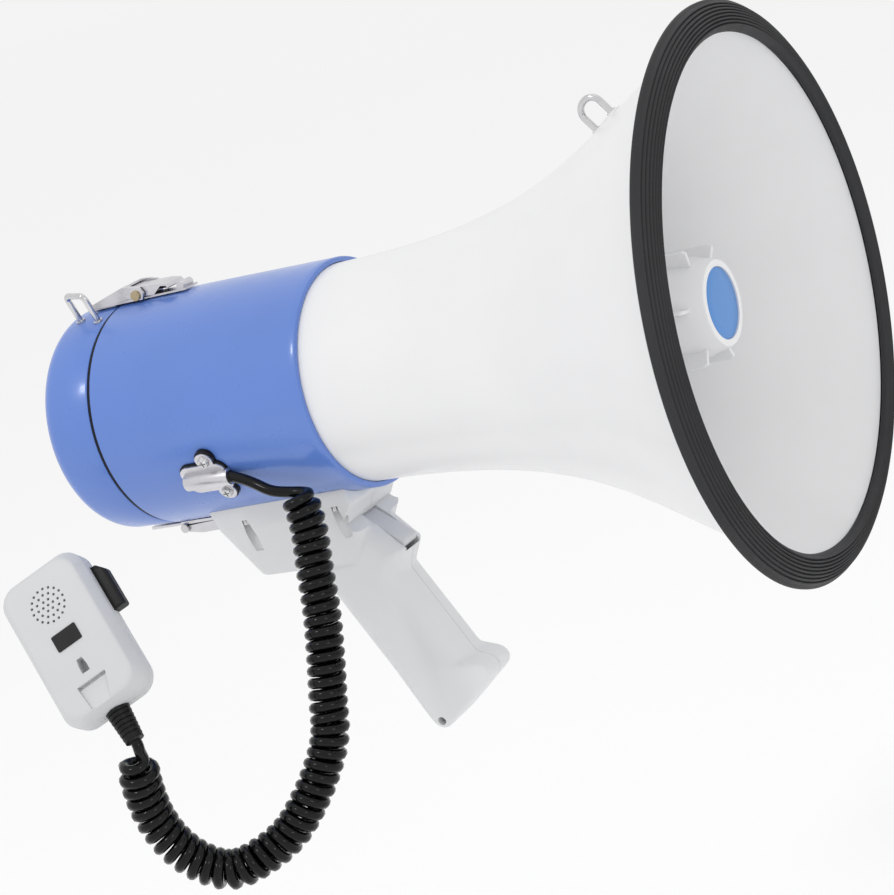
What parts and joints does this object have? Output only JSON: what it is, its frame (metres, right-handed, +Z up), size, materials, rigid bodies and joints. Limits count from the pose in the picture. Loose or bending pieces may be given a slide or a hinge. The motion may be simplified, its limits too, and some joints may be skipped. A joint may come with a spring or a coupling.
{
  "type": "handheld megaphone",
  "caption": "Handheld megaphone with a folded horn, battery barrel with latched cap, trigger grip, and a hand microphone on a curly cord.",
  "frame": {"origin": "the middle of the pistol grip, where the hand closes round it", "axes": "+X forwards along the horn to its mouth, +Y to the user's left, +Z up; the horn's axis runs 105 mm above the origin"},
  "size_m": [0.3399, 0.2545, 0.298],
  "materials": {
    "horn_white": "satin moulded ABS",
    "barrel_blue": "glossy moulded ABS",
    "rim_rubber": "matt ribbed rubber",
    "disc_blue": "glossy",
    "grip_grey": "fine matt",
    "trigger_grey": "fine matt",
    "mic_grey": "fine matt",
    "plate_steel": "bright pressed steel",
    "wire_chrome": "bright plated wire",
    "rivet_brass": "plain",
    "screw_steel": "plated",
    "black_rubber": "glossy black",
    "black_plastic": "matt",
    "inner_plastic": "plain",
    "driver_metal": "black paint",
    "ferrite": "dull",
    "driver_steel": "zinc plated",
    "phenolic": "brown phenolic film",
    "coil_copper": "enamelled wire",
    "board_green": "solder mask",
    "cell_jacket": "printed sleeve"
  },
  "bodies": {
    "megaphone": {"bell": "horn_white", "rim_guard": "rim_rubber", "reflector_cup": "horn_white", "hub_disc": "disc_blue", "hub_screw": "screw_steel", "throat_tube": "horn_white", "throat_plate": "horn_white", "driver_frame": "driver_metal", "diaphragm": "phenolic", "voice_coil": "coil_copper", "driver_plate": "driver_steel", "magnet": "ferrite", "yoke": "driver_steel", "driver_screws": "screw_steel", "amp_board": "board_green", "bulkhead": "inner_plastic", "battery_tray": "inner_plastic", "battery_cells": "cell_jacket", "contact_springs": "screw_steel", "barrel": "barrel_blue", "gasket": "black_rubber", "barrel_hinge_bracket": "plate_steel", "hinge_pin": "screw_steel", "latch_base": "plate_steel", "latch_pivot": "screw_steel", "strap_loop_front": "wire_chrome", "clamp_plate": "plate_steel", "clamp_pad": "black_rubber", "clamp_screws": "screw_steel", "grip_right": "grip_grey", "grip_left": "grip_grey", "grip_screws": "screw_steel", "saddle_screws": "screw_steel", "trigger_pin": "screw_steel", "trigger_spring": "screw_steel", "trigger_switch": "inner_plastic", "control_plate": "black_plastic", "cord_lead": "black_rubber", "cord_curl": "black_rubber", "cord_tail": "black_rubber"},
    "cap": {"rear_cap": "barrel_blue", "cap_hinge_leaf": "plate_steel", "latch_keeper": "plate_steel", "strap_loop_rear": "wire_chrome", "contact_strips": "screw_steel"},
    "latch_lever": {"latch_lever": "plate_steel", "latch_rivet": "rivet_brass"},
    "latch_claw": {"latch_claw": "plate_steel"},
    "trigger": {"trigger": "trigger_grey"},
    "volume_knob": {"volume_knob": "black_plastic"},
    "mode_slider": {"mode_slider": "black_plastic"},
    "microphone": {"mic_front": "mic_grey", "mic_back": "mic_grey", "mic_plate": "black_plastic", "mic_capsule": "driver_steel", "mic_switch": "inner_plastic", "mic_screws": "screw_steel", "strain_relief": "black_rubber"},
    "mic_button": {"mic_button": "black_plastic"}
  },
  "joints": [
    {"name": "cap_hinge", "type": "hinge", "parent": "megaphone", "child": "cap", "pos_m": [-0.104, 0, 0.0498], "axis": [0, -1, 0], "range_deg": [0, 90]},
    {"name": "lever_pivot", "type": "hinge", "parent": "megaphone", "child": "latch_lever", "pos_m": [-0.095, 0, 0.16], "axis": [0, -1, 0], "range_deg": [0, 90]},
    {"name": "claw_pivot", "type": "hinge", "parent": "latch_lever", "child": "latch_claw", "pos_m": [-0.088, 0, 0.1598], "axis": [0, 1, 0], "range_deg": [0, 105]},
    {"name": "trigger_pull", "type": "hinge", "parent": "megaphone", "child": "trigger", "pos_m": [-0.014, 0, 0.0395], "axis": [0, 1, 0], "range_deg": [0, 8], "stiffness_Nm_per_rad": 0.4, "springref_deg": -6.88, "deforming": ["trigger_spring"]},
    {"name": "volume_turn", "type": "hinge", "parent": "megaphone", "child": "volume_knob", "pos_m": [-0.02, 0.056, 0.105], "axis": [0, 1, 0], "range_deg": [0, 270]},
    {"name": "mode_slide", "type": "slide", "parent": "megaphone", "child": "mode_slider", "axis": [1, 0, 0], "range_m": [0, 0.006]},
    {"name": "mic_lift", "type": "slide", "parent": "megaphone", "child": "microphone", "axis": [0, 0, 1], "range_m": [0, 0.1]},
    {"name": "talk_press", "type": "slide", "parent": "microphone", "child": "mic_button", "axis": [-0.8105, -0.487, -0.3256], "range_m": [0, 0.0025], "stiffness_N_per_m": 400, "springref_m": -0.001}
  ],
  "couplings": [
    {"joint": "claw_pivot", "follows": "lever_pivot", "ratio": 1.1667}
  ]
}
